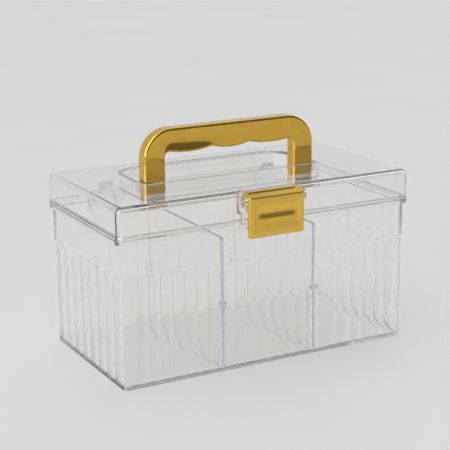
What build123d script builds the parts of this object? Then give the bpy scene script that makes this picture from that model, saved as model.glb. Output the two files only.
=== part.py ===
from build123d import *
import math
import os

# Clear carry box for cosmetics: a fluted box, a hinged lid with a folding handle,
# a swing latch and two lift-out dividers.
# Millimetres, +Z up, +X along the length, latch side towards -Y.
# The origin is the middle of the face that the box stands on.

# Lid shell
LID_LENGTH = 250.0
LID_WIDTH = 134.0
LID_HEIGHT = 24.4
LID_CORNER = 5.0
LID_EDGE_ROUND = 4.5
TOP_PLATE = 2.4
WALL = 2.0

# Rim where lid and box meet: a flange on the box, a lip on the lid, a tongue inside the lid
PARTING_HEIGHT = 114.0
RIM_THICK = 3.0
RIM_REACH = 0.7
RIM_ROUND = 0.8
TONGUE_RISE = 3.0
LID_FIT = 0.3
SEAT_GAP = 0.1

# Box: a plain band on top, a fluted wall below it and a plain foot
FLOOR_THICK = 2.6
FLOOR_ROUND = 1.2
BAND_DEPTH = 29.0
BAND_CORNER = 2.5
FLUTED_CORNER = 4.0
FLUTED_SET_IN = 0.2
FLUTE_DEPTH = 0.8
LONG_FLUTE_PITCH = 11.2
SIDE_FLUTE_PITCH = 15.2
FOOT_HEIGHT = 3.0
FOOT_ROUND = 1.0

# Dividers and the guide rails that hold them
OUTER_COMPARTMENT = 80.9
DIVIDER_THICK = 2.5
DIVIDER_BELOW_RIM = 9.0
DIVIDER_CORNER = 2.0
DIVIDER_FIT = 0.3
RAIL_RIB = 2.0
RAIL_REACH = 2.5
RAIL_HEIGHT = 53.4
RAIL_LEAD_IN = 4.5
RAIL_FLAT = 11.0

# Handle, folding backwards about pins in the ends of the lid's pocket
HANDLE_LENGTH = 149.0
HANDLE_THICK = 12.0
HANDLE_RISE = 46.5
HANDLE_CORNER = 23.0
HANDLE_ROUND = 2.0
LEG_WIDTH = 17.5
LEG_INNER_CORNER = 4.0
GRIP_HEIGHT = 17.3
CENTRE_LOBE = 32.4
LOBE_DROP = 2.4
NOTCH_ROUND = 3.0
HANDLE_PIN_RADIUS = 1.5
HANDLE_PIN_BITE = 8.0

# Pocket in the lid for the folded handle
POCKET_SINK = 0.7
POCKET_FLOOR_GAP = 0.7
POCKET_SIDE_GAP = 2.0
POCKET_FRONT_GAP = 3.3
POCKET_BACK_GAP = 4.0
POCKET_BACK_CORNER = 21.0
POCKET_FRONT_CORNER = 2.0
POCKET_WALL = 2.0
PIVOT_BOSS_RADIUS = 4.6
PIVOT_BOSS_GAP = 0.4

# Latch, hanging from a pin between two ears on the lid
LATCH_WIDTH = 47.0
LATCH_STAND_OFF = 9.0
LATCH_PLATE = 3.0
LATCH_DROP = 10.1
LATCH_SINK = 1.0
LATCH_TOP_FALL = 2.5
LATCH_ROUND = 1.4
LATCH_BORDER = 4.6
LATCH_PANEL_DEPTH = 0.4
LATCH_PANEL_BELOW_TOP = 5.5
LATCH_PANEL_ABOVE_BOTTOM = 3.0
LATCH_GROOVE_DEPTH = 1.2
LATCH_GROOVE_HEIGHT = 10.5
LATCH_GROOVE_MARGIN = 1.0
LATCH_SLOT_MARGIN = 2.2
LATCH_SLOT_WIDTH = 7.4
LATCH_SLOT_DEPTH = 0.7
LATCH_PIVOT_DEPTH = 7.0
LATCH_PIVOT_OUT = 3.0
LATCH_BACK_REACH = 5.0
LATCH_BARREL_DROP = 5.4
LATCH_PIN_RADIUS = 1.2
LATCH_SIDE_GAP = 0.4
HOOK_GAP = 0.3
HOOK_HEIGHT = 4.2
HOOK_TIP = 1.4
HOOK_WALL_GAP = 1.2
HOOK_MARGIN = 3.0
NOTCH_GAP = 0.5
EAR_THICK = 2.5
EAR_RADIUS = 4.0
GUSSET_REACH = 2.2

# Two hinges on the back
HINGE_INSET = 50.0
KNUCKLE_RADIUS = 3.0
KNUCKLE_RIM_GAP = 0.5
KNUCKLE_END_GAP = 0.3
LID_KNUCKLE = 12.0
BOX_KNUCKLE = 8.0
KNUCKLE_WEB_RISE = 8.0
HINGE_PIN_RADIUS = 1.25

# Running clearance of a pin in its hole, and how far solids reach into each other to fuse
PIN_FIT = 0.04
FUSE = 0.5

# Sizes that follow from the ones above
LID_TOP = PARTING_HEIGHT + LID_HEIGHT
BOX_LENGTH = LID_LENGTH - 2 * (WALL + LID_FIT)
BOX_WIDTH = LID_WIDTH - 2 * (WALL + LID_FIT)
BOX_TOP = PARTING_HEIGHT + TONGUE_RISE
BAND_BOTTOM = PARTING_HEIGHT - BAND_DEPTH
FLUTED_LENGTH = BOX_LENGTH - 2 * FLUTED_SET_IN
FLUTED_WIDTH = BOX_WIDTH - 2 * FLUTED_SET_IN
INNER_LENGTH = BOX_LENGTH - 2 * WALL
INNER_WIDTH = BOX_WIDTH - 2 * WALL
DIVIDER_PLACE = INNER_LENGTH / 2 - OUTER_COMPARTMENT
DIVIDER_TOP = PARTING_HEIGHT - DIVIDER_BELOW_RIM
RAIL_TOP = FLOOR_THICK + RAIL_HEIGHT
INNER_CORNER = FLUTED_CORNER - FLUTED_SET_IN - WALL / 2
RIM_LENGTH = LID_LENGTH + 2 * RIM_REACH
RIM_WIDTH = LID_WIDTH + 2 * RIM_REACH
LID_BOTTOM = PARTING_HEIGHT + SEAT_GAP
LID_FRONT = -LID_WIDTH / 2
LID_BACK = LID_WIDTH / 2

PIVOT_HEIGHT = LID_TOP - POCKET_SINK - HANDLE_THICK / 2
POCKET_FLOOR = PIVOT_HEIGHT - HANDLE_THICK / 2 - POCKET_FLOOR_GAP
POCKET_LENGTH = HANDLE_LENGTH + 2 * POCKET_SIDE_GAP
POCKET_FRONT = -HANDLE_THICK / 2 - POCKET_FRONT_GAP
POCKET_BACK = HANDLE_RISE + POCKET_BACK_GAP

LATCH_FACE = LID_FRONT - LATCH_STAND_OFF
LATCH_PIN_Y = LID_FRONT - LATCH_PIVOT_OUT
LATCH_PIN_Z = LID_TOP - LATCH_PIVOT_DEPTH
LATCH_REAR = LATCH_PIN_Y + LATCH_BACK_REACH
LATCH_TOP = LID_TOP - LATCH_SINK
LATCH_BOTTOM = PARTING_HEIGHT - LATCH_DROP
LATCH_SWEEP = math.hypot(LATCH_BACK_REACH, LATCH_TOP - LATCH_PIN_Z)

HINGE_PLACE = LID_LENGTH / 2 - HINGE_INSET
HINGE_Y = RIM_WIDTH / 2 + KNUCKLE_RIM_GAP + KNUCKLE_RADIUS
HINGE_Z = PARTING_HEIGHT
HINGE_PIN_LENGTH = LID_KNUCKLE + 2 * (KNUCKLE_END_GAP + BOX_KNUCKLE)

BOTH_SIDES = (-1, 1)


def rounded_block(length, width, corner, low, high):
    """A block with rounded upright corners, centred on the Z axis."""
    return extrude(Pos(0, 0, low) * RectangleRounded(length, width, corner), high - low)


def block(x0, x1, y0, y1, z0, z1):
    """A plain block between two corners."""
    return Pos((x0 + x1) / 2, (y0 + y1) / 2, (z0 + z1) / 2) * Box(x1 - x0, y1 - y0, z1 - z0)


def prism(outline, x0, x1):
    """A closed outline of (y, z) points, drawn out along X."""
    face = make_face(Polyline(*outline, close=True))
    return extrude(Plane.YZ.offset(x0) * face, x1 - x0)


def rod(radius, x0, x1, y, z):
    """A round bar along X."""
    return extrude(Plane.YZ.offset(x0) * Pos(y, z) * Circle(radius), x1 - x0)


def flute_cuts(wall_line, centre, span, pitch):
    """Circles that scoop the flutes out of a wall; yields (place along the wall, circle centre, radius)."""
    count = int(span / pitch + 1e-6)
    radius = ((pitch / 2) ** 2 + FLUTE_DEPTH ** 2) / (2 * FLUTE_DEPTH)
    for index in range(count):
        place = centre + (index - (count - 1) / 2) * pitch
        yield place, wall_line + radius - FLUTE_DEPTH, radius


def fluted_outline():
    """Outline of the fluted wall: plain at the divider rails, scooped everywhere else."""
    rail_edge = RAIL_FLAT / 2
    middle_span = 2 * (DIVIDER_PLACE - rail_edge)
    outer_span = FLUTED_LENGTH / 2 - DIVIDER_PLACE - rail_edge
    outer_centre = DIVIDER_PLACE + rail_edge + outer_span / 2
    bays = ((-outer_centre, outer_span), (0, middle_span), (outer_centre, outer_span))
    scoops = Sketch()
    for side in BOTH_SIDES:
        for centre, span in bays:
            for place, offset, radius in flute_cuts(FLUTED_WIDTH / 2, centre, span, LONG_FLUTE_PITCH):
                scoops += Pos(place, side * offset) * Circle(radius)
        for place, offset, radius in flute_cuts(FLUTED_LENGTH / 2, 0, FLUTED_WIDTH, SIDE_FLUTE_PITCH):
            scoops += Pos(side * offset, place) * Circle(radius)
    return RectangleRounded(FLUTED_LENGTH, FLUTED_WIDTH, FLUTED_CORNER) - scoops


def guide_rails():
    """Pairs of upright ribs on the front and back walls, one pair each side of a divider's edge."""
    near = DIVIDER_THICK / 2 + DIVIDER_FIT
    low = FLOOR_THICK - FUSE
    ribs = []
    for side in BOTH_SIDES:
        face = side * INNER_WIDTH / 2
        edge = face - side * RAIL_REACH
        root = face + side * FUSE
        outline = ((root, low), (edge, low), (edge, RAIL_TOP - RAIL_LEAD_IN), (face, RAIL_TOP), (root, RAIL_TOP))
        for divider in BOTH_SIDES:
            for hand in BOTH_SIDES:
                x0, x1 = sorted((hand * near, hand * (near + RAIL_RIB)))
                x = divider * DIVIDER_PLACE
                ribs.append(prism(outline, x + x0, x + x1))
    return ribs


def box_knuckles():
    """The outer knuckles of each hinge, on webs from the box's back wall."""
    low = HINGE_Z - KNUCKLE_RADIUS - KNUCKLE_WEB_RISE
    web_top = HINGE_Z - SEAT_GAP
    root = BOX_WIDTH / 2 - FUSE
    web = ((root, low), (root, web_top), (HINGE_Y, web_top), (HINGE_Y, HINGE_Z - KNUCKLE_RADIUS))
    knuckles = []
    for side in BOTH_SIDES:
        for hand in BOTH_SIDES:
            near = LID_KNUCKLE / 2 + KNUCKLE_END_GAP
            x0, x1 = sorted((hand * near, hand * (near + BOX_KNUCKLE)))
            x = side * HINGE_PLACE
            knuckles.append(prism(web, x + x0, x + x1) + rod(KNUCKLE_RADIUS, x + x0, x + x1, HINGE_Y, HINGE_Z))
    return knuckles


def hinge_bores():
    """The holes for the hinge pins, through every knuckle."""
    reach = HINGE_PIN_LENGTH / 2 + FUSE
    radius = HINGE_PIN_RADIUS + PIN_FIT
    return [
        rod(radius, side * HINGE_PLACE - reach, side * HINGE_PLACE + reach, HINGE_Y, HINGE_Z)
        for side in BOTH_SIDES
    ]


def make_box_body():
    foot = rounded_block(FLUTED_LENGTH, FLUTED_WIDTH, FLUTED_CORNER, 0, FOOT_HEIGHT)
    foot = fillet(foot.faces().sort_by(Axis.Z)[0].edges(), FOOT_ROUND)
    fluted = extrude(Pos(0, 0, FOOT_HEIGHT) * fluted_outline(), BAND_BOTTOM - FOOT_HEIGHT)
    band = rounded_block(BOX_LENGTH, BOX_WIDTH, BAND_CORNER, BAND_BOTTOM, BOX_TOP)
    flange_low = PARTING_HEIGHT - RIM_THICK
    flange = rounded_block(RIM_LENGTH, RIM_WIDTH, LID_CORNER + RIM_REACH, flange_low, PARTING_HEIGHT)
    flange = fillet(flange.faces().sort_by(Axis.Z)[0].edges(), RIM_ROUND)
    cavity = rounded_block(INNER_LENGTH, INNER_WIDTH, INNER_CORNER, FLOOR_THICK, BOX_TOP + FUSE)
    cavity = fillet(cavity.faces().sort_by(Axis.Z)[0].edges(), FLOOR_ROUND)
    shell = foot + fluted + band + flange - cavity
    return shell + guide_rails() + box_knuckles() - hinge_bores()


def pocket_block(margin, low, high):
    """The pocket's plan, grown by a margin, between two heights: square in front, round at the back."""
    half = POCKET_LENGTH / 2 + margin
    front = POCKET_FRONT - margin
    back = POCKET_BACK + margin
    plan = Pos(0, (front + back) / 2) * Rectangle(2 * half, back - front)
    by_depth = plan.vertices().group_by(Axis.Y)
    plan = fillet(by_depth[-1], POCKET_BACK_CORNER + margin)
    plan = fillet(plan.vertices().group_by(Axis.Y)[0], POCKET_FRONT_CORNER + margin)
    return extrude(Pos(0, 0, low) * plan, high - low)


def latch_ears():
    """Two round ears for the latch pin, each with a gusset down to the lip."""
    ears = []
    near = LATCH_WIDTH / 2 + LATCH_SIDE_GAP
    root = LID_FRONT + FUSE
    high = LATCH_PIN_Z + EAR_RADIUS
    low = LATCH_PIN_Z - EAR_RADIUS
    web = ((LATCH_PIN_Y, low), (LATCH_PIN_Y, high), (root, high), (root, low))
    gusset_face = LID_FRONT - GUSSET_REACH
    gusset = ((gusset_face, LID_BOTTOM), (gusset_face, LATCH_PIN_Z), (root, LATCH_PIN_Z), (root, LID_BOTTOM))
    for side in BOTH_SIDES:
        x0, x1 = sorted((side * near, side * (near + EAR_THICK)))
        ears.append(rod(EAR_RADIUS, x0, x1, LATCH_PIN_Y, LATCH_PIN_Z) + prism(web, x0, x1) + prism(gusset, x0, x1))
    return ears


def lid_knuckles():
    """The middle knuckle of each hinge, on a web from the lid's back wall."""
    root = LID_BACK - FUSE
    high = HINGE_Z + KNUCKLE_RADIUS
    web = ((root, LID_BOTTOM), (HINGE_Y, LID_BOTTOM), (HINGE_Y, high), (root, high + KNUCKLE_WEB_RISE))
    half = LID_KNUCKLE / 2
    knuckles = []
    for side in BOTH_SIDES:
        x0, x1 = side * HINGE_PLACE - half, side * HINGE_PLACE + half
        knuckles.append(prism(web, x0, x1) + rod(KNUCKLE_RADIUS, x0, x1, HINGE_Y, HINGE_Z))
    return knuckles


def make_lid():
    outer = rounded_block(LID_LENGTH, LID_WIDTH, LID_CORNER, LID_BOTTOM, LID_TOP)
    outer = fillet(outer.faces().sort_by(Axis.Z)[-1].edges(), LID_EDGE_ROUND)
    hollow = rounded_block(
        LID_LENGTH - 2 * WALL, LID_WIDTH - 2 * WALL, LID_CORNER - WALL, LID_BOTTOM - FUSE, LID_TOP - TOP_PLATE
    )
    hollow = fillet(hollow.faces().sort_by(Axis.Z)[-1].edges(), LID_EDGE_ROUND - WALL)
    lip_top = PARTING_HEIGHT + RIM_THICK
    lip = rounded_block(RIM_LENGTH, RIM_WIDTH, LID_CORNER + RIM_REACH, LID_BOTTOM, lip_top)
    lip = fillet(lip.faces().sort_by(Axis.Z)[-1].edges(), RIM_ROUND)
    shell = outer + lip - hollow

    # Pocket for the handle, with a boss at each end for its pin
    shell += pocket_block(POCKET_WALL, POCKET_FLOOR - POCKET_WALL, LID_TOP - TOP_PLATE / 2)
    shell -= pocket_block(0, POCKET_FLOOR, LID_TOP + FUSE)
    for side in BOTH_SIDES:
        wall_face = side * POCKET_LENGTH / 2
        boss = sorted((wall_face - side * (POCKET_SIDE_GAP - PIVOT_BOSS_GAP), wall_face + side * FUSE))
        shell += rod(PIVOT_BOSS_RADIUS, *boss, 0, PIVOT_HEIGHT)
        bore_end = wall_face + side * (POCKET_WALL + FUSE)
        bore = sorted((wall_face - side * POCKET_SIDE_GAP, bore_end))
        shell -= rod(HANDLE_PIN_RADIUS + PIN_FIT, *bore, 0, PIVOT_HEIGHT)

    # Notch in the front edge, in which the top of the latch turns
    half = LATCH_WIDTH / 2 + LATCH_SIDE_GAP
    notch_back = LATCH_PIN_Y + LATCH_SWEEP + NOTCH_GAP
    notch_floor = LATCH_PIN_Z - LATCH_SWEEP - NOTCH_GAP
    backing = block(-half - WALL, half + WALL, LID_FRONT, notch_back + WALL, notch_floor - WALL, LID_TOP)
    shell += backing & outer
    shell -= block(-half, half, LATCH_FACE, notch_back, notch_floor, LID_TOP + FUSE)

    shell = shell + latch_ears() + lid_knuckles() - hinge_bores()
    ear_end = half + EAR_THICK + FUSE
    return shell - rod(LATCH_PIN_RADIUS + PIN_FIT, -ear_end, ear_end, LATCH_PIN_Y, LATCH_PIN_Z)


def make_handle():
    foot = PIVOT_HEIGHT - HANDLE_THICK / 2
    top = PIVOT_HEIGHT + HANDLE_RISE
    outer = HANDLE_LENGTH / 2
    inner = outer - LEG_WIDTH
    under = top - GRIP_HEIGHT
    lobe = CENTRE_LOBE / 2
    side_lobe_middle = (inner + lobe) / 2
    low = under - LOBE_DROP
    outline = [
        Polyline((-inner, under), (-inner, foot), (-outer, foot), (-outer, top), (outer, top), (outer, foot),
                 (inner, foot), (inner, under)),
        ThreePointArc((inner, under), (side_lobe_middle, low), (lobe, under)),
        ThreePointArc((lobe, under), (0, low), (-lobe, under)),
        ThreePointArc((-lobe, under), (-side_lobe_middle, low), (-inner, under)),
    ]
    profile = make_face(outline)
    profile = fillet(profile.vertices().group_by(Axis.Y)[-1], HANDLE_CORNER)
    at_underside = profile.vertices().filter_by(lambda v: abs(v.Y - under) < FUSE)
    profile = fillet(at_underside.filter_by(lambda v: abs(v.X) < inner - FUSE), NOTCH_ROUND)
    at_underside = profile.vertices().filter_by(lambda v: abs(v.Y - under) < FUSE)
    profile = fillet(at_underside.filter_by(lambda v: abs(v.X) > inner - FUSE), LEG_INNER_CORNER)
    handle = extrude(Plane.XZ * profile, HANDLE_THICK / 2, both=True)
    faces = handle.faces().filter_by(Axis.Y)
    long_edges = faces.edges().filter_by(lambda e: e.center().Z > foot + FUSE)
    handle = fillet(long_edges, HANDLE_ROUND)

    # Leg ends are half round about the pivot, and bored for the pins
    half_thick = HANDLE_THICK / 2
    around_pivot = rod(half_thick, -outer, outer, 0, PIVOT_HEIGHT)
    around_pivot += block(-outer, outer, -half_thick, half_thick, PIVOT_HEIGHT, top)
    handle = handle & around_pivot
    for side in BOTH_SIDES:
        bore = sorted((side * (outer - HANDLE_PIN_BITE - FUSE), side * (outer + FUSE)))
        handle -= rod(HANDLE_PIN_RADIUS + PIN_FIT, *bore, 0, PIVOT_HEIGHT)
    return handle


def make_handle_pin(side):
    start = side * (HANDLE_LENGTH / 2 - HANDLE_PIN_BITE)
    end = side * (POCKET_LENGTH / 2 + POCKET_WALL)
    return rod(HANDLE_PIN_RADIUS, *sorted((start, end)), 0, PIVOT_HEIGHT)


def make_latch():
    half = LATCH_WIDTH / 2
    plate_back = LATCH_FACE + LATCH_PLATE
    hook_top = PARTING_HEIGHT - RIM_THICK - HOOK_GAP
    hook_tip = -BOX_WIDTH / 2 - HOOK_WALL_GAP
    barrel_low = LATCH_PIN_Z - LATCH_BARREL_DROP
    barrel_rear_low = LATCH_PIN_Z - LATCH_BACK_REACH / 2
    front_top = LATCH_TOP - LATCH_TOP_FALL
    side_view = (
        (LATCH_FACE, LATCH_BOTTOM), (LATCH_FACE, front_top), (LATCH_REAR, LATCH_TOP),
        (LATCH_REAR, barrel_rear_low), (LATCH_PIN_Y, barrel_low),
        (plate_back, barrel_low - LATCH_PLATE), (plate_back, LATCH_BOTTOM),
    )
    latch = prism(side_view, -half, half)
    front_edges = latch.edges().filter_by(lambda e: abs(e.center().Y - LATCH_FACE) < 1e-6)
    latch = fillet(front_edges, LATCH_ROUND)

    # Shallow panel inside a flat frame, with a round-bottomed finger groove across its upper half
    panel_half = half - LATCH_BORDER
    panel_low = LATCH_BOTTOM + LATCH_PANEL_ABOVE_BOTTOM
    panel_high = front_top - LATCH_PANEL_BELOW_TOP
    panel_face = LATCH_FACE + LATCH_PANEL_DEPTH
    latch -= block(-panel_half, panel_half, LATCH_FACE - FUSE, panel_face, panel_low, panel_high)
    chord = LATCH_GROOVE_HEIGHT / 2
    radius = (chord ** 2 + LATCH_GROOVE_DEPTH ** 2) / (2 * LATCH_GROOVE_DEPTH)
    groove_y = panel_face + LATCH_GROOVE_DEPTH - radius
    latch -= rod(radius, -panel_half, panel_half, groove_y, panel_high - LATCH_GROOVE_MARGIN - chord)

    # Long shallow slot in the sloping top
    top_middle = ((LATCH_FACE + LATCH_REAR) / 2, (front_top + LATCH_TOP) / 2)
    slope = math.degrees(math.atan2(LATCH_TOP - front_top, LATCH_REAR - LATCH_FACE))
    slot = Box(LATCH_WIDTH - 2 * LATCH_SLOT_MARGIN, LATCH_SLOT_WIDTH, 2 * LATCH_SLOT_DEPTH)
    latch -= Pos(0, *top_middle) * Rot(slope, 0, 0) * slot

    # Hook that catches under the flange of the box
    root = plate_back - FUSE
    hook = (
        (root, hook_top), (hook_tip, hook_top), (hook_tip, hook_top - HOOK_TIP),
        (root, hook_top - HOOK_HEIGHT),
    )
    latch += prism(hook, HOOK_MARGIN - half, half - HOOK_MARGIN)
    return latch - rod(LATCH_PIN_RADIUS + PIN_FIT, -half - FUSE, half + FUSE, LATCH_PIN_Y, LATCH_PIN_Z)


def make_latch_pin():
    reach = LATCH_WIDTH / 2 + LATCH_SIDE_GAP + EAR_THICK
    return rod(LATCH_PIN_RADIUS, -reach, reach, LATCH_PIN_Y, LATCH_PIN_Z)


def make_divider(side):
    low = FLOOR_THICK + DIVIDER_FIT
    plate = Pos(0, (low + DIVIDER_TOP) / 2) * Rectangle(INNER_WIDTH - 2 * DIVIDER_FIT, DIVIDER_TOP - low)
    corners = plate.vertices()
    plate = fillet(corners, DIVIDER_CORNER)
    start = side * DIVIDER_PLACE - DIVIDER_THICK / 2
    return extrude(Plane.YZ.offset(start) * plate, DIVIDER_THICK)


def make_hinge_pin(side):
    middle = side * HINGE_PLACE
    reach = HINGE_PIN_LENGTH / 2
    return rod(HINGE_PIN_RADIUS, middle - reach, middle + reach, HINGE_Y, HINGE_Z)


LEFT, RIGHT = BOTH_SIDES
pieces = {
    "box_body": make_box_body(),
    "hinge_pin_left": make_hinge_pin(LEFT),
    "hinge_pin_right": make_hinge_pin(RIGHT),
    "divider_left": make_divider(LEFT),
    "divider_right": make_divider(RIGHT),
    "lid": make_lid(),
    "handle": make_handle(),
    "handle_pin_left": make_handle_pin(LEFT),
    "handle_pin_right": make_handle_pin(RIGHT),
    "latch": make_latch(),
    "latch_pin": make_latch_pin(),
}

os.makedirs("parts", exist_ok=True)
for name, piece in pieces.items():
    export_step(piece, f"parts/{name}.step")
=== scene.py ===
import math

import bpy
from mathutils import Matrix, Vector


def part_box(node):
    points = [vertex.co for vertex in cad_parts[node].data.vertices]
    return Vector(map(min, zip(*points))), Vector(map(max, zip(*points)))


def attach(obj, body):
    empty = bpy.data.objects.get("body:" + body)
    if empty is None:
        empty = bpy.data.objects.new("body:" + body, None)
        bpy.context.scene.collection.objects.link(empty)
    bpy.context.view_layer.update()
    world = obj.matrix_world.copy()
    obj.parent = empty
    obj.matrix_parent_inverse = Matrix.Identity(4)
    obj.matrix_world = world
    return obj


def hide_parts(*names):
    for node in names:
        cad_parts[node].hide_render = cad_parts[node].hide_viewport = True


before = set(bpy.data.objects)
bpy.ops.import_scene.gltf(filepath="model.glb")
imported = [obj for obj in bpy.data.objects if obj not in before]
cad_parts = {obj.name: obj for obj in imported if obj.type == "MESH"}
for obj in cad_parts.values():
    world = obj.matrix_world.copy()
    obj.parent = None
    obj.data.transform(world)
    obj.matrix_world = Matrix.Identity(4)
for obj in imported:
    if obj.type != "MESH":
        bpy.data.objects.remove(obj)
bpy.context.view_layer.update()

# The box is one moulding in clear polystyrene with walls about 2 mm thick. A plain band runs round the top
# under a flange, the wall below it is scooped into upright flutes, and pairs of ribs inside hold the
# dividers. The outer knuckles of two hinges stand on webs at the back.
mm = 0.001
box_low, box_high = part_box("box_body")
rim_half_length, rim_half_width, box_top = box_high.x, -box_low.y, box_high.z
rim_reach = 0.7 * mm
wall = 2 * mm
lid_fit = 0.3 * mm
band_half_length = rim_half_length - rim_reach - wall - lid_fit
band_half_width = rim_half_width - rim_reach - wall - lid_fit
tongue_rise = 3 * mm
rim_thick = 3 * mm
rim_round = 0.8 * mm
edge_break = 0.3 * mm
parting_height = box_top - tongue_rise
band_bottom = parting_height - 29 * mm
band_corner = 2.5 * mm
lid_corner = 5 * mm
fluted_set_in = 0.2 * mm
fluted_half_length = band_half_length - fluted_set_in
fluted_half_width = band_half_width - fluted_set_in
fluted_corner = 4 * mm
foot_height = 3 * mm
foot_round = 1 * mm
run_out = 0.15 * mm
floor_thick = 2.6 * mm
floor_round = 1.2 * mm
inner_half_length = band_half_length - wall
inner_half_width = band_half_width - wall
inner_corner = fluted_corner - fluted_set_in - wall / 2

divider_low, divider_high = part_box("divider_right")
divider_place = (divider_low.x + divider_high.x) / 2
divider_fit = 0.3 * mm
rib_near = (divider_high.x - divider_low.x) / 2 + divider_fit
rib_far = rib_near + 2 * mm
rib_reach = 2.5 * mm
rib_top = floor_thick + 53.4 * mm
rib_lead_in = 4.5 * mm
rib_draft = 0.1 * mm
rail_flat = 11 * mm

flute_depth = 0.8 * mm
flute_steps = 12
flutes_per_bay = 6
flutes_per_side = 8
long_pitch = 11.2 * mm
side_pitch = 15.2 * mm
corner_clear = 1.15 * fluted_corner
outer_span = fluted_half_length - divider_place - rail_flat / 2
outer_bay = divider_place + rail_flat / 2 + outer_span / 2


def row(count, pitch):
    """Centres of a row of flutes, about the middle of the row."""
    return [(i - (count - 1) / 2) * pitch for i in range(count)]


bays = (-outer_bay, 0, outer_bay)
long_flutes = [bay + off for bay in bays for off in row(flutes_per_bay, long_pitch)]
side_flutes = row(flutes_per_side, side_pitch)


def flute_places(centres, pitch, limit):
    """Places along a wall, close enough together to draw every flute, with one at each cusp."""
    steps = [k / flute_steps - 0.5 for k in range(flute_steps + 1)]
    places = {round(centre + step * pitch, 7) for centre in centres for step in steps}
    return {place for place in places if abs(place) < limit}


def rib_places():
    """Places along the long wall where a guide rib starts or ends."""
    steps = (rib_near - rib_draft, rib_near, rib_far, rib_far + rib_draft)
    return {side * divider_place + hand * step for side in (-1, 1) for hand in (-1, 1) for step in steps}


long_places = flute_places(long_flutes, long_pitch, fluted_half_length - corner_clear)
long_places = sorted(long_places | rib_places())
side_places = sorted(flute_places(side_flutes, side_pitch, fluted_half_width - corner_clear))
corner_steps = 14


def ring(plan, inset, z, shape=None, along=long_places, across=side_places):
    """A level loop on a (half length, half width, corner) plan, drawn in all round by an inset.

    Loops with the same places have the same count of points at any size.
    """
    half_length, half_width, corner = (size - inset for size in plan)
    x, y = half_length - corner, half_width - corner
    corners = ((x, -y, -90), (x, y, 0), (-x, y, 90), (-x, -y, 180))
    sides = (
        [(place, -half_width) for place in along], [(half_length, place) for place in across],
        [(-place, half_width) for place in along], [(-half_length, -place) for place in across],
    )
    points = []
    for side, (cx, cy, start) in zip(sides, corners):
        points += side
        for k in range(corner_steps + 1):
            angle = math.radians(start + 90 * k / corner_steps)
            points.append((cx + corner * math.cos(angle), cy + corner * math.sin(angle)))
    return [Vector((*(shape(*point) if shape else point), z)) for point in points]


def scoop(place, centres, pitch):
    """Depth of the flute at a place along a wall: an arc from cusp to cusp."""
    radius = (pitch ** 2 / 4 + flute_depth ** 2) / (2 * flute_depth)
    off = min(abs(place - centre) for centre in centres)
    return max(0.0, math.sqrt(radius ** 2 - off ** 2) - radius + flute_depth)


def fluted(x, y):
    deepest_y = fluted_half_width - scoop(x, long_flutes, long_pitch)
    y = math.copysign(min(abs(y), deepest_y), y)
    deepest_x = fluted_half_length - scoop(y, side_flutes, side_pitch)
    return math.copysign(min(abs(x), deepest_x), x), y


def ribbed(x, y):
    off = abs(abs(x) - divider_place)
    on_rib = rib_near - rib_draft / 2 < off < rib_far + rib_draft / 2
    return x, math.copysign(inner_half_width - rib_reach, y) if on_rib else y


def loft(name, loops):
    """A closed solid through loops of equally many points, with a flat face at each end."""
    count = len(loops[0])
    points = [point for loop in loops for point in loop]
    faces = [tuple(reversed(range(count))), tuple(range(len(points) - count, len(points)))]
    for level in range(len(loops) - 1):
        low = level * count
        for i in range(count):
            j = (i + 1) % count
            faces.append((low + i, low + j, low + count + j, low + count + i))
    mesh = bpy.data.meshes.new(name)
    mesh.from_pydata(points, [], faces)
    solid = bpy.data.objects.new(name, mesh)
    bpy.context.scene.collection.objects.link(solid)
    return solid


def quarter(radius, steps=8):
    """A quarter round as (distance in from its edge, rise) pairs, from flat to upright."""
    turns = [math.pi / 2 * k / steps for k in range(steps + 1)]
    return [(radius * (1 - math.sin(turn)), radius * (1 - math.cos(turn))) for turn in turns]


def box_loops():
    """Up the outside from the foot, over the tongue and down the inside to the floor."""
    fluted_plan = (fluted_half_length, fluted_half_width, fluted_corner)
    band_plan = (band_half_length, band_half_width, band_corner)
    rim_plan = (rim_half_length, rim_half_width, lid_corner + rim_reach)
    inner_plan = (inner_half_length, inner_half_width, inner_corner)
    half_way = (foot_height + band_bottom) / 2
    rim_low = parting_height - rim_thick
    rim_edge = quarter(rim_round) + [(0, rim_thick - edge_break), (edge_break, rim_thick)]
    tongue = ((0, parting_height), (0, box_top - edge_break), (edge_break, box_top))
    mouth = ((-edge_break, box_top), (0, box_top - edge_break), (0, rib_top))
    floor_edge = reversed(quarter(floor_round))
    levels = [(fluted_plan, inset, rise) for inset, rise in quarter(foot_round)]
    levels.append((fluted_plan, 0, foot_height))
    levels += [(fluted_plan, 0, z, fluted) for z in (foot_height + run_out, half_way, band_bottom)]
    levels += [(band_plan, 0, z) for z in (band_bottom, rim_low)]
    levels += [(rim_plan, inset, rim_low + rise) for inset, rise in rim_edge]
    levels += [(band_plan, inset, z) for inset, z in tongue]
    levels += [(inner_plan, inset, z) for inset, z in mouth]
    levels.append((inner_plan, 0, rib_top - rib_lead_in, ribbed))
    levels += [(inner_plan, inset, floor_thick + rise, ribbed) for inset, rise in floor_edge]
    return [ring(*level) for level in levels]


def arc(centre, radius, start, end, steps=24):
    """Points on an arc in a side view, from one angle to another in degrees."""
    turns = [math.radians(start + (end - start) * k / steps) for k in range(steps + 1)]
    return [(centre[0] + radius * math.cos(turn), centre[1] + radius * math.sin(turn)) for turn in turns]


def circle(centre, radius, sides=24):
    """The outline of a round bar or bore in a side view."""
    return arc(centre, radius, 0, 360 - 360 / sides, sides - 1)


def bar(name, outline, start, end):
    """A solid with a (y, z) outline, drawn out along X."""
    return loft(name, [[Vector((x, y, z)) for y, z in outline] for x in (start, end)])


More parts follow.
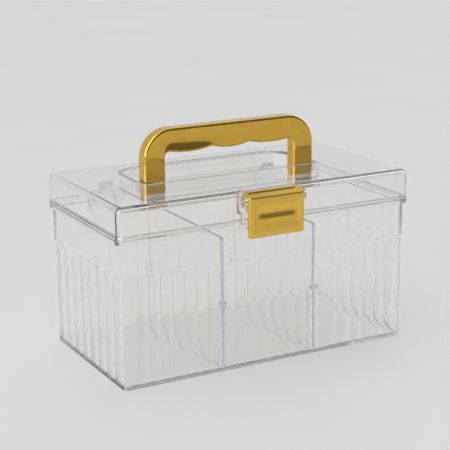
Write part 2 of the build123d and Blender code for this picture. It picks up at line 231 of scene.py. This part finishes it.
def carve(piece, tools, operation):
    """Joins solids to a piece or cuts them out of it, and settles the result in its mesh."""
    for tool in tools:
        step = piece.modifiers.new(operation, "BOOLEAN")
        step.operation = operation
        step.solver = "MANIFOLD"
        step.object = tool
    ready = piece.evaluated_get(bpy.context.evaluated_depsgraph_get())
    mesh = bpy.data.meshes.new_from_object(ready)
    piece.modifiers.clear()
    mesh.materials.clear()
    piece.data = mesh
    for tool in tools:
        bpy.data.objects.remove(tool)


def smooth(piece, sharpest=14):
    """Rounds shade smoothly, edges over an angle in degrees stay crisp, and flat faces stay flat."""
    piece.data.shade_smooth()
    piece.data.set_sharp_from_angle(angle=math.radians(sharpest))
    normals = piece.modifiers.new("flat faces stay flat", "WEIGHTED_NORMAL")
    normals.keep_sharp = True
    normals.weight = 90


pin_low, pin_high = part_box("hinge_pin_right")
hinge_place = (pin_low.x + pin_high.x) / 2
hinge_axis = ((pin_low.y + pin_high.y) / 2, (pin_low.z + pin_high.z) / 2)
hinge_pin_radius = (pin_high.z - pin_low.z) / 2
hinge_pin_half = (pin_high.x - pin_low.x) / 2
pin_fit = 0.04 * mm
seat_gap = 0.1 * mm
overlap = 0.5 * mm
knuckle_radius = 3 * mm
knuckle_end_gap = 0.3 * mm
knuckle_web_rise = 8 * mm
lid_knuckle_half = 6 * mm


def knuckle_outline(root, web):
    """Side view of the box's knuckle: a barrel about the pin, and a web down to the wall."""
    y, z = hinge_axis
    barrel = arc(hinge_axis, knuckle_radius, -90, 180)
    web_top = z - seat_gap
    return [(root, z - knuckle_radius - web)] + barrel + [(y - knuckle_radius, web_top), (root, web_top)]


def hinge_bores():
    reach = hinge_pin_half + overlap
    outline = circle(hinge_axis, hinge_pin_radius + pin_fit)
    places = (-hinge_place, hinge_place)
    return [bar("bore", outline, place - reach, place + reach) for place in places]


def box_knuckles():
    outline = knuckle_outline(band_half_width - overlap, knuckle_web_rise)
    near, far = lid_knuckle_half + knuckle_end_gap, hinge_pin_half
    knuckles = []
    for place in (-hinge_place, hinge_place):
        for start, end in ((near, far), (-far, -near)):
            knuckles.append(bar("knuckle", outline, place + start, place + end))
    return knuckles


class Wire:
    """A socket in a node tree. Sums on wires add Math nodes, and add() makes any other node."""

    def __init__(self, tree, socket=None):
        self.tree = tree
        self.socket = socket

    def add(self, kind, settings=None, inputs=None, output=0):
        node = self.tree.nodes.new(kind)
        for name, value in (settings or {}).items():
            setattr(node, name, value)
        for name, value in (inputs or {}).items():
            if isinstance(value, Wire):
                self.tree.links.new(value.socket, node.inputs[name])
            else:
                node.inputs[name].default_value = value
        return Wire(self.tree, node.outputs[output] if node.outputs else None)

    def maths(self, operation, first, second):
        return self.add("ShaderNodeMath", {"operation": operation}, {0: first, 1: second})

    def __add__(self, other):
        return self.maths("ADD", self, other)

    def __radd__(self, other):
        return self.maths("ADD", other, self)

    def __sub__(self, other):
        return self.maths("SUBTRACT", self, other)

    def __rsub__(self, other):
        return self.maths("SUBTRACT", other, self)

    def __mul__(self, other):
        return self.maths("MULTIPLY", self, other)

    def __rmul__(self, other):
        return self.maths("MULTIPLY", other, self)

    def eased(self, low, high):
        """0 below low, 1 above high, and a soft step between."""
        ends = {"Value": self, "From Min": low, "From Max": high}
        return self.add("ShaderNodeMapRange", {"interpolation_type": "SMOOTHSTEP"}, ends)

    def colours(self, first, second):
        """A colour that goes from the first to the second as this wire goes from 0 to 1."""
        ends = {0: self, 6: first, 7: second}
        return self.add("ShaderNodeMix", {"data_type": "RGBA"}, ends, output=2)

    def noise(self, scale, detail=2.0, stretch=(1, 1, 1)):
        """Noise over the surface, with scale in spots per metre."""
        where = self.add("ShaderNodeTexCoord", output=3)
        where = self.add("ShaderNodeVectorMath", {"operation": "MULTIPLY"}, {0: where, 1: stretch})
        return self.add("ShaderNodeTexNoise", None, {"Vector": where, "Scale": scale, "Detail": detail})


def new_material(name):
    """An empty material and a wire to its node tree."""
    material = bpy.data.materials.new(name)
    material.use_nodes = True
    material.node_tree.nodes.clear()
    return material, Wire(material.node_tree)


def clear_plastic(name, depth, cast, frost=0.0):
    """Clear polystyrene: glossy, with faint moulding ripples and handling haze.

    Light takes on the cast with the depth of plastic that it crosses, and frost dulls the faces that
    don't look along X.
    """
    material, wire = new_material(name)
    ripple = wire.noise(scale=28, detail=1.0)
    haze = wire.noise(scale=60, detail=4.0).eased(0.5, 0.8)
    across = wire.add("ShaderNodeSeparateXYZ", None, {0: wire.add("ShaderNodeTexCoord", output=1)})
    edge = 1 - wire.maths("ABSOLUTE", across, 0).eased(0.3, 0.7)
    bump = wire.add("ShaderNodeBump", None, {"Strength": 0.15, "Distance": 0.08 * mm, "Height": ripple})
    plastic = wire.add("ShaderNodeBsdfPrincipled", None, {
        "Base Color": haze.colours((0.990, 0.988, 0.982, 1), (0.970, 0.968, 0.962, 1)),
        "Roughness": 0.004 + haze * 0.02 + edge * frost, "IOR": 1.57, "Transmission Weight": 1.0,
        "Normal": bump,
    })
    light = wire.add("ShaderNodeLightPath")
    shadow = Wire(wire.tree, light.socket.node.outputs["Is Shadow Ray"])
    diffuse = Wire(wire.tree, light.socket.node.outputs["Is Diffuse Ray"])
    passing = wire.add("ShaderNodeBsdfTransparent", None, {"Color": (0.985, 0.985, 0.983, 1)})
    soft_ray = wire.maths("MAXIMUM", shadow, diffuse)
    lit = wire.add("ShaderNodeMixShader", None, {0: soft_ray, 1: plastic, 2: passing})
    inside = wire.add("ShaderNodeVolumeAbsorption", None, {"Color": cast, "Density": depth})
    wire.add("ShaderNodeOutputMaterial", None, {"Surface": lit, "Volume": inside})
    return material


clear_cast = (0.80, 0.80, 0.81, 1)
clear = clear_plastic("clear polystyrene", depth=20.0, cast=clear_cast)
box = loft("clear_box", box_loops())
carve(box, box_knuckles(), "UNION")
carve(box, hinge_bores(), "DIFFERENCE")
smooth(box)
box.data.materials.append(clear)
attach(box, "box")
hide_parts("box_body")

# Two hinge pins of the same clear plastic, with chamfered ends. They are pressed through the box's
# knuckles, and the lid's knuckles turn on them.
pin_chamfer = 0.3 * mm


def chamfered_pin(node, body, material):
    """A pin along X in place of a plain one, with chamfered ends."""
    low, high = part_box(node)
    middle = ((low.y + high.y) / 2, (low.z + high.z) / 2)
    radius = (high.z - low.z) / 2
    left_end = [(low.x, pin_chamfer), (low.x + pin_chamfer, 0)]
    right_end = [(high.x - pin_chamfer, 0), (high.x, pin_chamfer)]
    loops = []
    for x, inset in left_end + right_end:
        loops.append([Vector((x, y, z)) for y, z in circle(middle, radius - inset)])
    pin = loft("shaped_" + node, loops)
    smooth(pin, sharpest=25)
    pin.data.materials.append(material)
    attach(pin, body)
    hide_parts(node)


for node in ("hinge_pin_left", "hinge_pin_right"):
    chamfered_pin(node, "box", clear)

# Two clear dividers, flat plates that drop between the ribs. Their corners are rounded, and their edges
# are broken and a little frosted, with a cool cast.
divider_corner = 2 * mm
divider_edge = 0.35 * mm
sheet_cast = (0.78, 0.78, 0.88, 1)
sheet = clear_plastic("clear sheet with frosted edges", depth=10.0, cast=sheet_cast, frost=0.2)


def inset_outline(outline, inset):
    """An outline moved inwards, each point along the mean of its two sides' normals."""
    moved = []
    for i, point in enumerate(outline):
        back = (point - outline[i - 1]).normalized()
        ahead = (outline[(i + 1) % len(outline)] - point).normalized()
        normal = Vector((-back.y - ahead.y, back.x + ahead.x)).normalized()
        square = max(0.3, normal.dot(Vector((-back.y, back.x))))
        moved.append(point + normal * inset / square)
    return moved


def slab_loops(outline, half_thick, edge_round, place):
    """Loops of a slab with rounded edges; place turns (u, v, depth) into a point."""
    levels = [(inset, -half_thick + rise) for inset, rise in quarter(edge_round)]
    levels += [(inset, -depth) for inset, depth in reversed(levels)]
    loops = []
    for inset, depth in levels:
        loops.append([place(point.x, point.y, depth) for point in inset_outline(outline, inset)])
    return loops


def rounded_rectangle(low, high, corner, steps=8):
    u0, v0, u1, v1 = low[0] + corner, low[1] + corner, high[0] - corner, high[1] - corner
    corners = ((u0, v0, 180), (u1, v0, 270), (u1, v1, 0), (u0, v1, 90))
    return [Vector(p) for u, v, start in corners for p in arc((u, v), corner, start, start + 90, steps)]


for side in ("left", "right"):
    low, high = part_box("divider_" + side)
    middle = (low.x + high.x) / 2
    half_thick = (high.x - low.x) / 2
    outline = rounded_rectangle((low.y, low.z), (high.y, high.z), divider_corner)
    loops = slab_loops(
        outline, half_thick, divider_edge, lambda y, z, depth: Vector((middle + depth, y, z)),
    )
    divider = loft("clear_divider_" + side, loops)
    smooth(divider)
    divider.data.materials.append(sheet)
    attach(divider, "divider_" + side)
    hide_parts("divider_" + side)

# The lid is a second clear moulding: a shallow shell with a lip that sits on the box's flange. A pocket
# is sunk in its top for the folded handle, a notch and two ears in front hold the latch, and a knuckle
# at the back belongs to each hinge.
lid_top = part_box("lid")[1].z
lid_bottom = parting_height + seat_gap
lid_half_length = rim_half_length - rim_reach
lid_half_width = rim_half_width - rim_reach
lid_edge_round = 4.5 * mm
top_plate = 2.4 * mm
lip_root = 0.4 * mm
lid_along = [k * 10 * mm for k in range(-11, 12)]
lid_across = [k * 10 * mm for k in range(-5, 6)]


def lid_loops():
    """From the top plate down the outside, round the lip and up the inside."""
    outer_plan = (lid_half_length, lid_half_width, lid_corner)
    lip_plan = (rim_half_length, rim_half_width, lid_corner + rim_reach)
    inner_plan = (lid_half_length - wall, lid_half_width - wall, lid_corner - wall)
    lip_top = parting_height + rim_thick
    ceiling = lid_top - top_plate
    inner_edge = reversed(quarter(lid_edge_round - wall))
    levels = [(outer_plan, inset, lid_top - drop) for inset, drop in quarter(lid_edge_round, 12)]
    levels.append((outer_plan, 0, lip_top + lip_root))
    levels += [(lip_plan, inset, lip_top - drop) for inset, drop in quarter(rim_round)]
    levels += [(lip_plan, 0, lid_bottom + edge_break), (lip_plan, edge_break, lid_bottom)]
    levels += [(inner_plan, -edge_break, lid_bottom), (inner_plan, 0, lid_bottom + edge_break)]
    levels += [(inner_plan, inset, ceiling - drop) for inset, drop in inner_edge]
    return [ring(*level, along=lid_along, across=lid_across) for level in levels]


handle_low, handle_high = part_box("handle")
handle_half_thick = handle_high.y
pivot_height = handle_low.z + handle_half_thick
pocket_floor = handle_low.z - 0.7 * mm
pocket_half = handle_high.x + 2 * mm
pocket_front = -handle_half_thick - 3.3 * mm
pocket_back = handle_high.z - pivot_height + 4 * mm
pocket_back_corner = 21 * mm
pocket_front_corner = 2 * mm
pocket_wall = 2 * mm
pocket_floor_round = 0.8 * mm
pocket_rim_round = 0.8 * mm
boss_radius = 4.6 * mm
boss_reach = 1.6 * mm


def pocket_ring(margin, z):
    """The pocket's plan, grown by a margin: square in front, well rounded at the back."""
    half, front, back = pocket_half + margin, pocket_front - margin, pocket_back + margin
    near, far = pocket_front_corner + margin, pocket_back_corner + margin
    plan = arc((-half + near, front + near), near, 180, 270, 10)
    plan += arc((half - near, front + near), near, 270, 360, 10)
    plan += arc((half - far, back - far), far, 0, 90)
    plan += arc((-half + far, back - far), far, 90, 180)
    return [Vector((x, y, z)) for x, y in plan]


def pocket_shell():
    """The pocket's walls and floor from outside, with a soft lower edge."""
    low = pocket_floor - pocket_wall
    levels = [(pocket_wall - inset, low + rise) for inset, rise in quarter(pocket_wall)]
    levels.append((pocket_wall, lid_top - top_plate / 2))
    return loft("pocket shell", [pocket_ring(margin, z) for margin, z in levels])


def pocket_hollow():
    """The space in the pocket, flared at the top so that the rim comes out rounded."""
    levels = [(-inset, pocket_floor + rise) for inset, rise in quarter(pocket_floor_round)]
    flare = quarter(pocket_rim_round)
    levels += [(pocket_rim_round - drop, lid_top - inset) for inset, drop in reversed(flare)]
    levels.append((levels[-1][0], lid_top + overlap))
    return loft("pocket hollow", [pocket_ring(margin, z) for margin, z in levels])


def handle_bosses():
    """A round boss on each end wall of the pocket, against which the handle turns."""
    outline = circle((0, pivot_height), boss_radius, sides=48)
    near, far = pocket_half - boss_reach, pocket_half + overlap
    return [bar("boss", outline, near, far), bar("boss", outline, -far, -near)]


def handle_bores():
    low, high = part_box("handle_pin_right")
    outline = circle((0, pivot_height), (high.z - low.z) / 2 + pin_fit)
    near, far = low.x, pocket_half + pocket_wall + overlap
    return [bar("bore", outline, near, far), bar("bore", outline, -far, -near)]


latch_low, latch_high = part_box("latch")
latch_pin_low, latch_pin_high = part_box("latch_pin")
latch_axis = ((latch_pin_low.y + latch_pin_high.y) / 2, (latch_pin_low.z + latch_pin_high.z) / 2)
latch_pin_radius = (latch_pin_high.z - latch_pin_low.z) / 2
latch_half = latch_high.x
notch_half = latch_half + 0.4 * mm
ear_thick = 2.5 * mm
ear_radius = 4 * mm
gusset_reach = 2.2 * mm
latch_back_reach = 5 * mm
notch_gap = 0.5 * mm


def latch_notch():
    """The cut in the lid's front edge in which the top of the latch turns, and the wall behind it."""
    sweep = math.hypot(latch_back_reach, latch_high.z - latch_axis[1])
    back, low = latch_axis[0] + sweep + notch_gap, latch_axis[1] - sweep - notch_gap
    front, behind, under = -lid_half_width + wall / 2, back + wall, low - wall
    ceiling = lid_top - top_plate / 2
    outline = [(front, under), (behind, under), (behind, ceiling), (front, ceiling)]
    backing = bar("backing", outline, -notch_half - wall, notch_half + wall)
    ahead, above = latch_low.y, lid_top + overlap
    outline = [(ahead, low), (back, low), (back, above), (ahead, above)]
    return backing, bar("notch", outline, -notch_half, notch_half)


def latch_ears():
    """Two round ears for the latch's pin, each with a gusset down to the lip."""
    y, z = latch_axis
    root = -lid_half_width + overlap
    gusset_face = -lid_half_width - gusset_reach
    meet = math.degrees(math.acos((gusset_face - y) / ear_radius))
    outline = [(root, lid_bottom), (gusset_face, lid_bottom)] + arc(latch_axis, ear_radius, -meet, -270)
    outline.append((root, z + ear_radius))
    outline.reverse()
    near, far = notch_half, notch_half + ear_thick
    return [bar("ear", outline, near, far), bar("ear", outline, -far, -near)]


def latch_bore():
    reach = notch_half + ear_thick + overlap
    return bar("bore", circle(latch_axis, latch_pin_radius + pin_fit), -reach, reach)


def lid_knuckles():
    """The middle knuckle of each hinge, on a web from the lid's back wall."""
    y, z = hinge_axis
    root = lid_half_width - overlap
    barrel = arc(hinge_axis, knuckle_radius, -180, 90)
    outline = [(root, lid_bottom), (y - knuckle_radius, lid_bottom)] + barrel
    outline.append((root, z + knuckle_radius + knuckle_web_rise))
    half, places = lid_knuckle_half, (-hinge_place, hinge_place)
    return [bar("knuckle", outline, place - half, place + half) for place in places]


lid_plastic = clear_plastic("clear polystyrene of the lid", depth=24.0, cast=clear_cast)
lid = loft("clear_lid", [list(reversed(loop)) for loop in lid_loops()])
notch_backing, notch_cut = latch_notch()
carve(lid, [pocket_shell(), notch_backing], "UNION")
carve(lid, [pocket_hollow(), notch_cut], "DIFFERENCE")
carve(lid, handle_bosses() + latch_ears() + lid_knuckles(), "UNION")
carve(lid, handle_bores() + [latch_bore()] + hinge_bores(), "DIFFERENCE")
smooth(lid)
lid.data.materials.append(lid_plastic)
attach(lid, "lid")
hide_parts("lid")

# The handle is moulded in hard plastic and plated a bright gold under lacquer. Its grip has three finger
# lobes underneath, and its legs end half round about the pins that they turn on.
handle_round = 2 * mm
handle_corner = 23 * mm
leg_width = 17.5 * mm
leg_inner_corner = 4 * mm
grip_height = 17.3 * mm
lobe_half = 16.2 * mm
lobe_drop = 2.4 * mm
notch_soft = 0.44 * mm
grip_low = handle_high.z - grip_height - lobe_drop
dish_high = handle_high.z - 5 * mm
dish_start, dish_full = -64 * mm, -50 * mm
dish_ease, dish_end = -34 * mm, 0.0
dish_depth = 2.4 * mm
dish_loss = 2.2 * mm
wave_height = 2.2 * mm
peel_height = 0.004 * mm


def gold_plate(name, rough, bright, deep):
    """Bright plating under clear lacquer: mirror-like, a little wavy, deeper in colour in places.

    The face of the grip is faintly dished towards its lower edge, most at its left end.
    """
    material, wire = new_material(name)
    waves = wire.noise(scale=26, detail=1.0, stretch=(0.6, 1, 1))
    peel = wire.noise(scale=900, detail=2.0)
    wear = wire.noise(scale=130, detail=3.0).eased(0.45, 0.75)
    along = wire.add("ShaderNodeSeparateXYZ", None, {0: wire.add("ShaderNodeTexCoord", output=3)})
    up = Wire(wire.tree, along.socket.node.outputs[2])
    ends = {"Value": up, "From Min": dish_high, "From Max": grip_low}
    drop = up.add("ShaderNodeMapRange", None, ends)
    depth = dish_depth - dish_loss * along.eased(dish_ease, dish_end)
    dish = drop * drop * along.eased(dish_start, dish_full) * depth
    height = waves * wave_height + dish + peel * peel_height
    bump = wire.add("ShaderNodeBump", None, {"Strength": 1.0, "Distance": 1.0, "Height": height})
    gold = wire.add("ShaderNodeBsdfPrincipled", None, {
        "Base Color": wear.colours(bright, deep),
        "Roughness": rough + wear * 0.05, "Metallic": 1.0, "Coat Weight": 0.25, "Coat Roughness": 0.03,
        "Normal": bump,
    })
    wire.add("ShaderNodeOutputMaterial", None, {"Surface": gold})
    return material


bright_gold = (0.75, 0.45, 0.066, 1)
deep_gold = (0.71, 0.42, 0.056, 1)
gold = gold_plate("gold plate", rough=0.08, bright=bright_gold, deep=deep_gold)


def lobed(x):
    """Height of the grip's underside: three shallow arcs that meet in softened notches."""
    inner = handle_high.x - leg_width
    side_half, side_middle = (inner - lobe_half) / 2, (inner + lobe_half) / 2
    heights = []
    for middle, half in ((0, lobe_half), (side_middle, side_half)):
        radius = (half ** 2 + lobe_drop ** 2) / (2 * lobe_drop)
        off = min(radius, abs(abs(x) - middle))
        heights.append(grip_low + radius - math.sqrt(radius ** 2 - off ** 2))
    near = max(0.0, 1 - abs(heights[0] - heights[1]) / notch_soft)
    return min(heights) - near ** 2 * notch_soft / 4


def rounded_corner(before, corner, after, radius, steps):
    """Points of an arc that rounds a corner between two straight sides."""
    to_before, to_after = (before - corner).normalized(), (after - corner).normalized()
    half = to_before.angle(to_after) / 2
    along = radius / math.tan(half)
    start, end = corner + to_before * along, corner + to_after * along
    centre = corner + (to_before + to_after).normalized() * radius / math.sin(half)
    points = []
    for k in range(steps + 1):
        spoke = (start - centre).lerp(end - centre, k / steps).normalized()
        points.append(centre + spoke * radius)
    return points


def mirrored(points):
    """The same points on the other side of the middle, in the other order."""
    return [Vector((-point.x, point.y)) for point in reversed(points)]


def handle_outline():
    """Front view, counter-clockwise from the right leg's foot: corners, then the lobed underside."""
    outer, inner, foot, top = handle_high.x, handle_high.x - leg_width, handle_low.z, handle_high.z
    foot_steps, lobe_steps = 8, 120
    turns = [math.pi / 2 * k / foot_steps for k in range(foot_steps + 1)]
    leg = [foot + handle_half_thick * (1 - math.cos(turn)) for turn in turns]
    right_out = [Vector((outer, z)) for z in leg]
    right_in = [Vector((inner, z)) for z in reversed(leg)]
    outer_foot, outer_top, middle = Vector((outer, foot)), Vector((outer, top)), Vector((0, top))
    top_right = rounded_corner(outer_foot, outer_top, middle, handle_corner, steps=40)
    reach = inner - 1.3 * leg_inner_corner
    places = [reach * (2 * k / lobe_steps - 1) for k in range(lobe_steps + 1)]
    under = [Vector((x, lobed(x))) for x in places]
    at_leg, inner_foot = Vector((inner, lobed(inner))), Vector((inner, foot))
    inner_right = rounded_corner(under[-1], at_leg, inner_foot, leg_inner_corner, steps=14)
    outside = right_out + top_right + mirrored(top_right) + mirrored(right_out)
    return outside + mirrored(right_in) + mirrored(inner_right) + under + inner_right + right_in


def handle_point(x, z, depth):
    """A point of the handle, drawn in towards the pivot where a leg's end is half round."""
    below = min(1.0, max(0.0, (pivot_height - z) / handle_half_thick))
    return Vector((x, -depth * math.sqrt(1 - below ** 2), z))


handle = loft("gold_handle", slab_loops(handle_outline(), handle_half_thick, handle_round, handle_point))
carve(handle, handle_bores(), "DIFFERENCE")
smooth(handle)
handle.data.materials.append(gold)
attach(handle, "handle")
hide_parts("handle")

# The handle turns on two short lengths of drawn steel wire with chamfered ends. They are pressed through
# the bosses at the ends of the pocket.


def drawn_steel():
    """Drawn wire: grey metal with fine marks along its length."""
    material, wire = new_material("drawn steel")
    marks = wire.noise(scale=900, detail=3.0, stretch=(0.06, 1, 1))
    patches = wire.noise(scale=240, detail=2.0)
    bump = wire.add("ShaderNodeBump", None, {"Strength": 0.3, "Distance": 0.02 * mm, "Height": marks})
    steel = wire.add("ShaderNodeBsdfPrincipled", None, {
        "Base Color": patches.colours((0.55, 0.55, 0.56, 1), (0.68, 0.68, 0.69, 1)),
        "Roughness": 0.22 + marks * 0.2, "Metallic": 1.0, "Normal": bump,
    })
    wire.add("ShaderNodeOutputMaterial", None, {"Surface": steel})
    return material


steel = drawn_steel()
for node in ("handle_pin_left", "handle_pin_right"):
    chamfered_pin(node, "lid", steel)

# The latch is moulded in plastic, plated a satin gold, and hangs from a pin between the lid's ears. Its
# front has a panel in a flat frame with a finger groove across it, its sloping top a long slot, and its
# back a hook that catches under the box's flange.
latch_face, latch_bottom, latch_top = latch_low.y, latch_low.z, latch_high.z
latch_rear = latch_axis[0] + latch_back_reach
latch_fall = 2.5 * mm
latch_slope = latch_fall / (latch_rear - latch_face)
latch_plate = 3 * mm
latch_round = 1.4 * mm
front_high = latch_top - latch_fall + latch_round * latch_slope
panel_half = latch_half - 4.6 * mm
panel_soft = 0.5 * mm
panel_depth = 0.6 * mm
panel_fade = 5 * mm
panel_low = latch_bottom + 3 * mm
panel_high = latch_top - latch_fall - 5.5 * mm
groove_half = 5.8 * mm
groove_depth = 1.1 * mm
groove_fade = 3 * mm
groove_middle = panel_high - 1 * mm - groove_half
barrel_drop = 5.4 * mm
slot_half_length = latch_half - 2.2 * mm
slot_half_width = 3.7 * mm
slot_corner = 0.8 * mm
slot_depth = 0.7 * mm
hook_half = latch_half - 3 * mm
hook_top = parting_height - rim_thick - 0.3 * mm
hook_tip = -band_half_width - 1.2 * mm
hook_height = 4.2 * mm
hook_nose = 1.4 * mm


def within(distance, soft=panel_soft):
    """0 outside the panel, 1 inside it, and a soft step across its edge."""
    share = min(1.0, max(0.0, 0.5 + distance / (2 * soft)))
    return share * share * (3 - 2 * share)


def latch_relief(x, z):
    """How far the front lies behind its foremost plane: round edges, the sunk panel and its groove."""
    across = max(0.0, latch_round - latch_half + abs(x))
    up = max(0.0, latch_round - min(z - latch_bottom, front_high - z))
    edge = latch_round - math.sqrt(max(0.0, latch_round ** 2 - across ** 2 - up ** 2))
    away = min(1.0, abs(z - groove_middle) / groove_half)
    groove = groove_depth * (1 + math.cos(math.pi * away)) / 2
    groove *= within(panel_half - groove_fade - abs(x), groove_fade)
    panel = panel_depth * within(panel_high - z) * within(z - panel_low - panel_fade, panel_fade)
    return edge + within(panel_half - abs(x)) * panel + groove


def latch_loops():
    """Side views from end to end: the plate's back, the barrel, the sloping top, the front in relief."""
    round_steps, front_rows, soft_steps, panel_columns = 6, 96, 8, 16
    turns = [math.pi / 2 * k / round_steps for k in range(round_steps + 1)]
    insets = [latch_round * (1 - math.cos(turn)) for turn in turns]
    low, high = latch_bottom + latch_round, front_high - latch_round
    front = [latch_bottom + inset for inset in insets]
    front += [low + (high - low) * k / front_rows for k in range(1, front_rows)]
    front += [front_high - inset for inset in reversed(insets)]
    y, z = latch_axis
    plate_back, break_z = latch_face + latch_plate, latch_top - edge_break * latch_slope
    back = [
        (plate_back - edge_break, latch_bottom), (plate_back, latch_bottom + edge_break),
        (plate_back, z - barrel_drop - latch_plate), (y, z - barrel_drop),
        (latch_rear, z - latch_back_reach / 2),
        (latch_rear, latch_top - edge_break), (latch_rear - edge_break, break_z),
    ]
    right = [latch_half - inset for inset in insets]
    right += [panel_half + panel_soft * (1 - 2 * k / soft_steps) for k in range(soft_steps + 1)]
    right += [panel_half * k / panel_columns for k in range(1, panel_columns)]
    right.sort()
    loops = []
    for x in [-place for place in reversed(right)] + [0] + right:
        shaped = [(latch_face + latch_relief(x, height), height) for height in reversed(front)]
        loops.append([Vector((x, *point)) for point in back + shaped])
    return loops


def top_slot():
    """The long slot in the latch's sloping top, with a softened rim and floor."""
    middle = Vector((0, (latch_face + latch_rear) / 2, latch_top - latch_fall / 2))
    along, out = Vector((0, 1, latch_slope)).normalized(), Vector((0, -latch_slope, 1)).normalized()
    low, high = (-slot_half_length, -slot_half_width), (slot_half_length, slot_half_width)
    plan = rounded_rectangle(low, high, slot_corner)
    rim = quarter(edge_break, 4)
    levels = [(inset, -slot_depth + rise) for inset, rise in rim]
    levels += [(edge_break - drop, -inset) for inset, drop in reversed(rim)]
    levels.append((levels[-1][0], overlap))
    levels = [(inset if depth < -edge_break else -inset, depth) for inset, depth in levels]
    loops = []
    for inset, depth in levels:
        flat = [(Vector((point.x, 0, 0)), point.y) for point in inset_outline(plan, inset)]
        loops.append([middle + across + along * up + out * depth for across, up in flat])
    return loft("slot", loops)


def latch_hook():
    root = latch_face + latch_plate - overlap
    nose_low = hook_top - hook_nose
    outline = [
        (root, hook_top - hook_height),
        (hook_tip - edge_break, nose_low), (hook_tip, nose_low + edge_break),
        (hook_tip, hook_top - edge_break), (hook_tip - edge_break, hook_top),
        (root, hook_top),
    ]
    return bar("hook", outline, -hook_half, hook_half)


bright_satin = (0.87, 0.56, 0.09, 1)
deep_satin = (0.83, 0.53, 0.08, 1)
satin_gold = gold_plate("satin gold plate", rough=0.28, bright=bright_satin, deep=deep_satin)
latch = loft("gold_latch", latch_loops())
carve(latch, [latch_hook()], "UNION")
carve(latch, [top_slot(), latch_bore()], "DIFFERENCE")
smooth(latch)
latch.data.materials.append(satin_gold)
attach(latch, "latch")
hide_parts("latch")

# The latch swings on one longer piece of the same steel wire. It runs through the latch's barrel and is
# pressed into both ears.
chamfered_pin("latch_pin", "lid", steel)

# The studio: a pale floor, and one soft box up in front on the left.
# The floor is wide enough to run past the top of the picture.
floor_reach = 60.0
floor_gap = 0.05 * mm
corners = [(x * floor_reach, y * floor_reach, 0) for x, y in ((-1, -1), (1, -1), (1, 1), (-1, 1))]
floor_mesh = bpy.data.meshes.new("floor")
floor_mesh.from_pydata(corners, [], [(0, 1, 2, 3)])
floor = bpy.data.objects.new("floor", floor_mesh)
floor.location.z = -floor_gap
bpy.context.scene.collection.objects.link(floor)
floor_paint, wire = new_material("pale floor")
mottle = wire.noise(scale=6, detail=3.0)
surface = wire.add("ShaderNodeBsdfPrincipled", None, {
    "Base Color": mottle.colours((0.80, 0.80, 0.795, 1), (0.84, 0.84, 0.835, 1)), "Roughness": 0.55,
})
wire.add("ShaderNodeOutputMaterial", None, {"Surface": surface})
floor_mesh.materials.append(floor_paint)

lamp_place = Vector((-0.75, -0.75, 1.05))
lamp_aim = Vector((0, 0, 0.09))
lamp = bpy.data.lights.new("soft box left", "AREA")
lamp.shape = "RECTANGLE"
lamp.size = 0.8
lamp.size_y = 0.8
lamp.energy = 1.4
soft_box = bpy.data.objects.new("soft box left", lamp)
soft_box.location = lamp_place
soft_box.rotation_euler = (lamp_aim - lamp_place).to_track_quat("-Z", "Y").to_euler()
bpy.context.scene.collection.objects.link(soft_box)

# The room around the studio is bright above and at the sides, less bright behind the object, and dim in
# front of it, towards the right, so that metal and clear edges have something dark to mirror.
bright_room = (2.12, 2.12, 2.12, 1)
back_of_room = (0.66, 0.66, 0.66, 1)
dim_front = (0.16, 0.16, 0.16, 1)
world = bpy.data.worlds.new("studio")
world.use_nodes = True
world.node_tree.nodes.clear()
bpy.context.scene.world = world
wire = Wire(world.node_tree)
towards = wire.add("ShaderNodeTexCoord", output=0)


def facing(direction):
    """How far a view into the room agrees with a direction: 1 along it, 0 square to it."""
    product = {"operation": "DOT_PRODUCT"}
    return wire.add("ShaderNodeVectorMath", product, {0: towards, 1: direction}, output=1)


behind = facing((0.0, 0.94, 0.34)).eased(0.42, 0.8)
in_front = facing((0.5, -0.8, 0.33)).eased(0.18, 0.44)
room = in_front.colours(behind.colours(bright_room, back_of_room), dim_front)
background = wire.add("ShaderNodeBackground", None, {"Color": room, "Strength": 1.0})
wire.add("ShaderNodeOutputWorld", None, {"Surface": background})

# The camera stands about a metre off, in front and to the left, a little above the lid. It has a long
# lens and looks slightly down.
camera_data = bpy.data.cameras.new("camera")
camera_data.sensor_width = 36
camera_data.lens = 106.12
camera = bpy.data.objects.new("camera", camera_data)
camera_place = (-0.4861, -0.8914, 0.3701)
heading, tilt, roll = math.radians(-28.45), math.radians(90 - 15.2), math.radians(-0.52)
aim = Matrix.Rotation(heading, 4, "Z") @ Matrix.Rotation(tilt, 4, "X") @ Matrix.Rotation(roll, 4, "Z")
camera.matrix_world = Matrix.Translation(camera_place) @ aim
bpy.context.scene.collection.objects.link(camera)
bpy.context.scene.camera = camera

bpy.context.scene.view_settings.view_transform = "Standard"

# Light crosses many clear walls here, so it may bend and bounce more often than usual.
light_paths = bpy.context.scene.cycles
light_paths.max_bounces = 72
light_paths.transmission_bounces = 72
light_paths.glossy_bounces = 64
light_paths.transparent_max_bounces = 32
